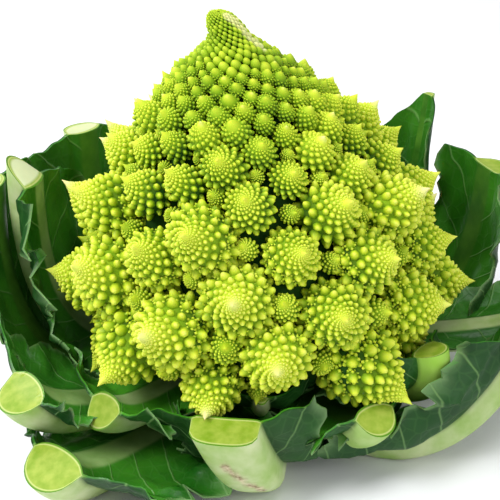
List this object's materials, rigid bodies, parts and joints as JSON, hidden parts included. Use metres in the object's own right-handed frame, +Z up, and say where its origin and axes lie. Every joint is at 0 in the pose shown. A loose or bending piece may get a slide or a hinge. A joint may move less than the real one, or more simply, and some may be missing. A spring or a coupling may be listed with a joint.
{
  "type": "romanesco head",
  "caption": "Cut romanesco head: a pointed curd of spiralling florets on a short cut stalk, with trimmed wrapper leaves round it. It rests on the stalk's cut face.",
  "frame": {"origin": "centre of the stalk's cut face, which rests on the surface", "axes": "+Z up, from the cut face towards the curd's tip; -Y towards the viewer of the picture; +X to that viewer's right"},
  "size_m": [0.2324, 0.2033, 0.162],
  "materials": {
    "curd": "moist, bumpy vegetable flesh, yellow green with deeper green hollows",
    "stalk": "pale green, smooth, freshly cut",
    "leaf": "waxy dark green leaf with pale thick ribs and lime cut faces"
  },
  "bodies": {
    "root": {"curd": "curd", "stalk": "stalk", "leaf_front": "leaf", "leaf_front_left": "leaf", "leaf_left": "leaf", "leaf_back_left": "leaf", "leaf_back": "leaf", "leaf_right_tall": "leaf", "leaf_front_right": "leaf", "leaf_inner_front": "leaf", "leaf_left_low": "leaf", "leaf_left_tall": "leaf", "leaf_back_inner": "leaf", "leaf_back_right": "leaf", "leaf_stub_right": "leaf", "leaf_inner_left": "leaf", "leaf_inner_right": "leaf", "leaf_stub_far_right": "leaf", "leaf_right_far": "leaf"}
  },
  "joints": []
}
